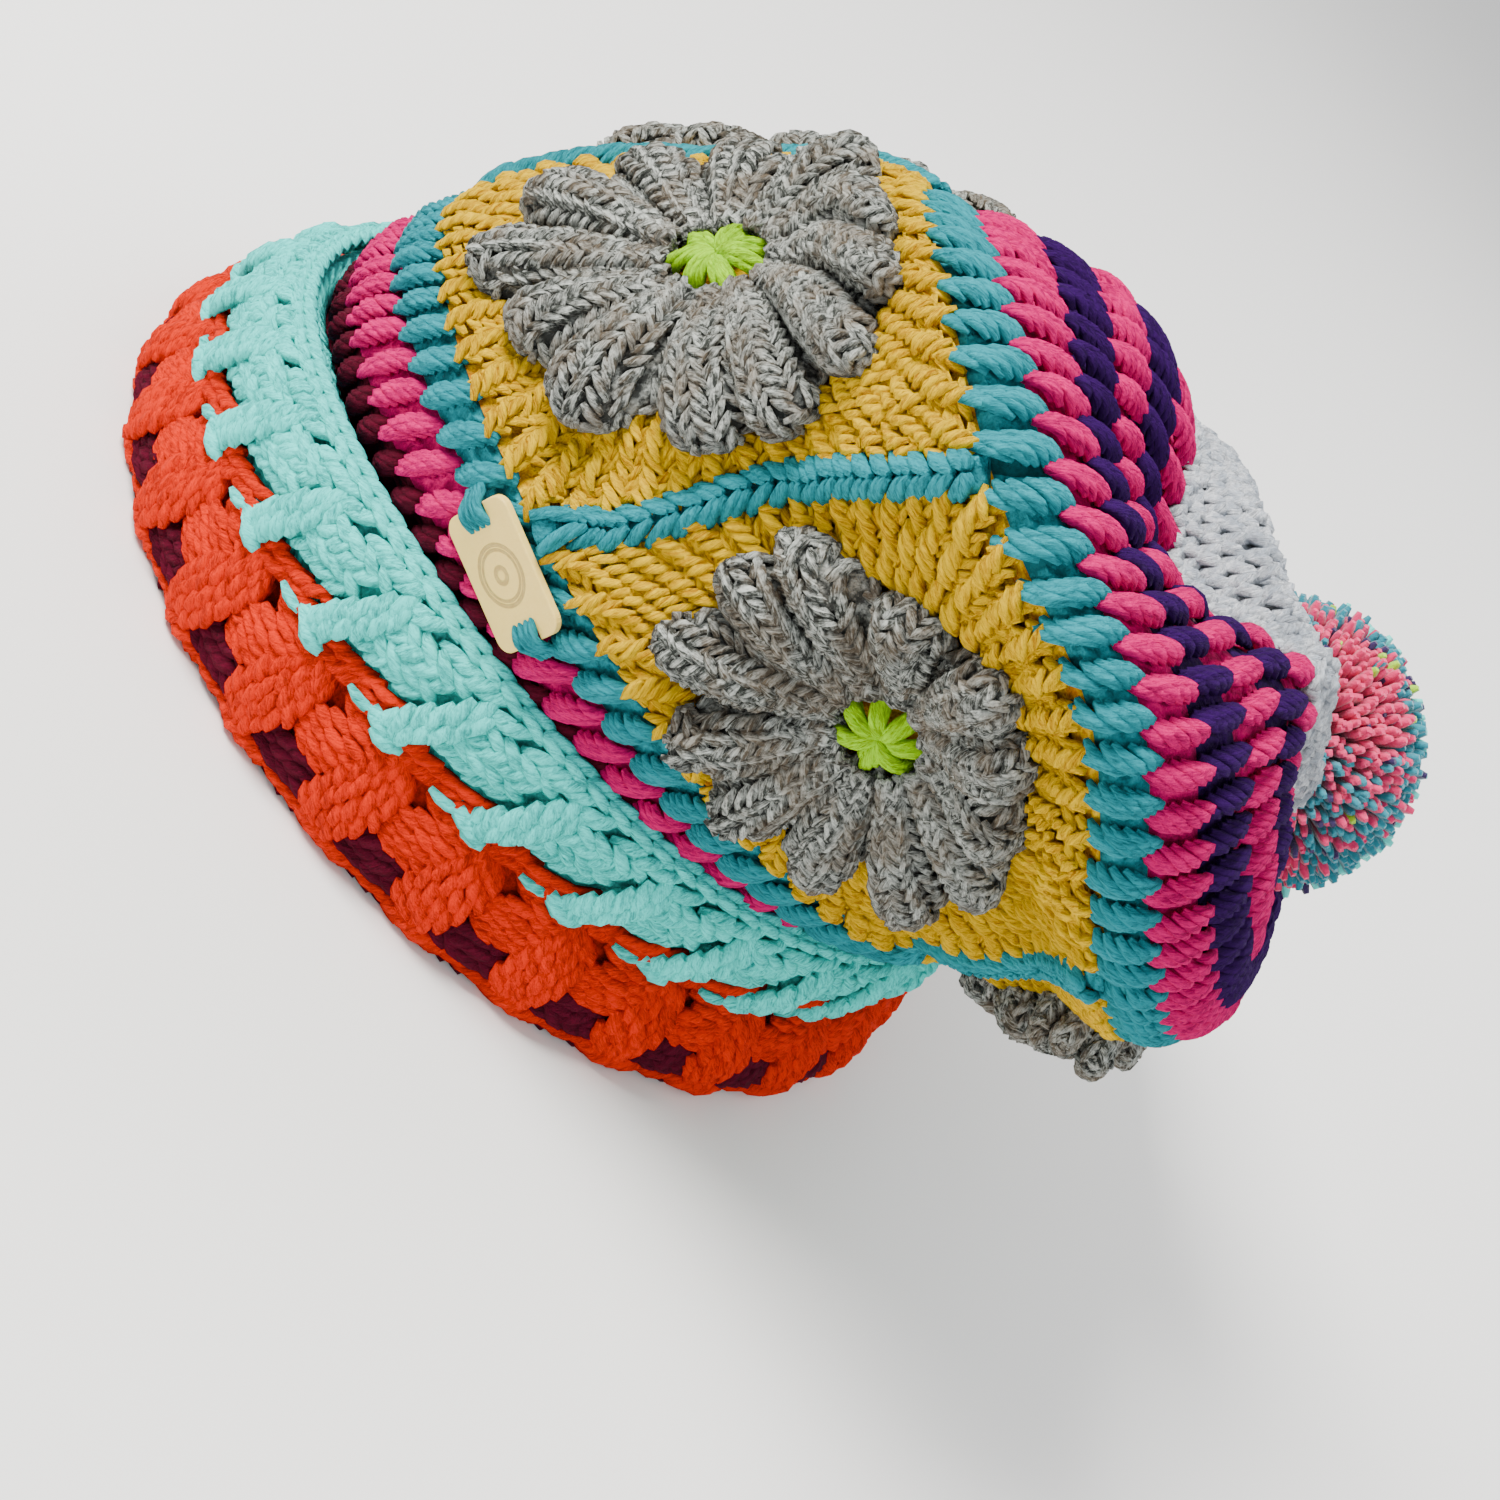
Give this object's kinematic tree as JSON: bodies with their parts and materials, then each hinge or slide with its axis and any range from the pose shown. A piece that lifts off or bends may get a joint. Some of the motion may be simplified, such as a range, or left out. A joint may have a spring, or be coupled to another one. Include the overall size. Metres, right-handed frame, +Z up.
{
  "type": "crochet bobble hat",
  "caption": "Slouchy crochet bobble hat with a folded ribbed cuff, square flower motifs, a striped crown, a bobble and a small plain tag; open underneath.",
  "frame": {"origin": "centre of the bounding box at the underside of the cuff", "axes": "+Z up out of the brim plane, -Y towards the forehead, +X towards the wearer's left"},
  "size_m": [0.2429, 0.2662, 0.1772],
  "materials": {
    "yarn_orange": "matte acrylic yarn",
    "yarn_aqua": "matte acrylic yarn",
    "yarn_burgundy": "matte acrylic yarn",
    "yarn_pink": "matte acrylic yarn",
    "yarn_teal": "matte acrylic yarn",
    "yarn_purple": "matte acrylic yarn",
    "yarn_light_grey": "matte acrylic yarn",
    "yarn_yellow": "matte acrylic yarn",
    "yarn_grey": "matte heather acrylic yarn",
    "yarn_lime": "matte acrylic yarn",
    "yarn_bobble": "cut yarn, pink and teal",
    "tag_leather": "pale artificial leather, pressed ring"
  },
  "bodies": {
    "root": {"cuff_orange": "yarn_orange", "cuff_aqua": "yarn_aqua", "inner_band": "yarn_burgundy", "round_pink_lower": "yarn_pink", "round_teal_lower": "yarn_teal", "round_teal_upper": "yarn_teal", "round_pink_1": "yarn_pink", "round_purple_1": "yarn_purple", "round_pink_2": "yarn_pink", "round_purple_2": "yarn_purple", "round_pink_3": "yarn_pink", "crown_cap": "yarn_light_grey", "panel_1": "yarn_yellow", "panel_2": "yarn_yellow", "panel_3": "yarn_yellow", "panel_4": "yarn_yellow", "panel_5": "yarn_yellow", "flower_1": "yarn_grey", "flower_2": "yarn_grey", "flower_3": "yarn_grey", "flower_4": "yarn_grey", "flower_5": "yarn_grey", "flower_eye_1": "yarn_lime", "flower_eye_2": "yarn_lime", "flower_eye_3": "yarn_lime", "flower_eye_4": "yarn_lime", "flower_eye_5": "yarn_lime", "seam_1": "yarn_teal", "seam_2": "yarn_teal", "seam_3": "yarn_teal", "seam_4": "yarn_teal", "seam_5": "yarn_teal", "pompom": "yarn_bobble", "tag": "tag_leather", "tag_strap_front": "yarn_teal", "tag_strap_back": "yarn_teal"}
  },
  "joints": []
}
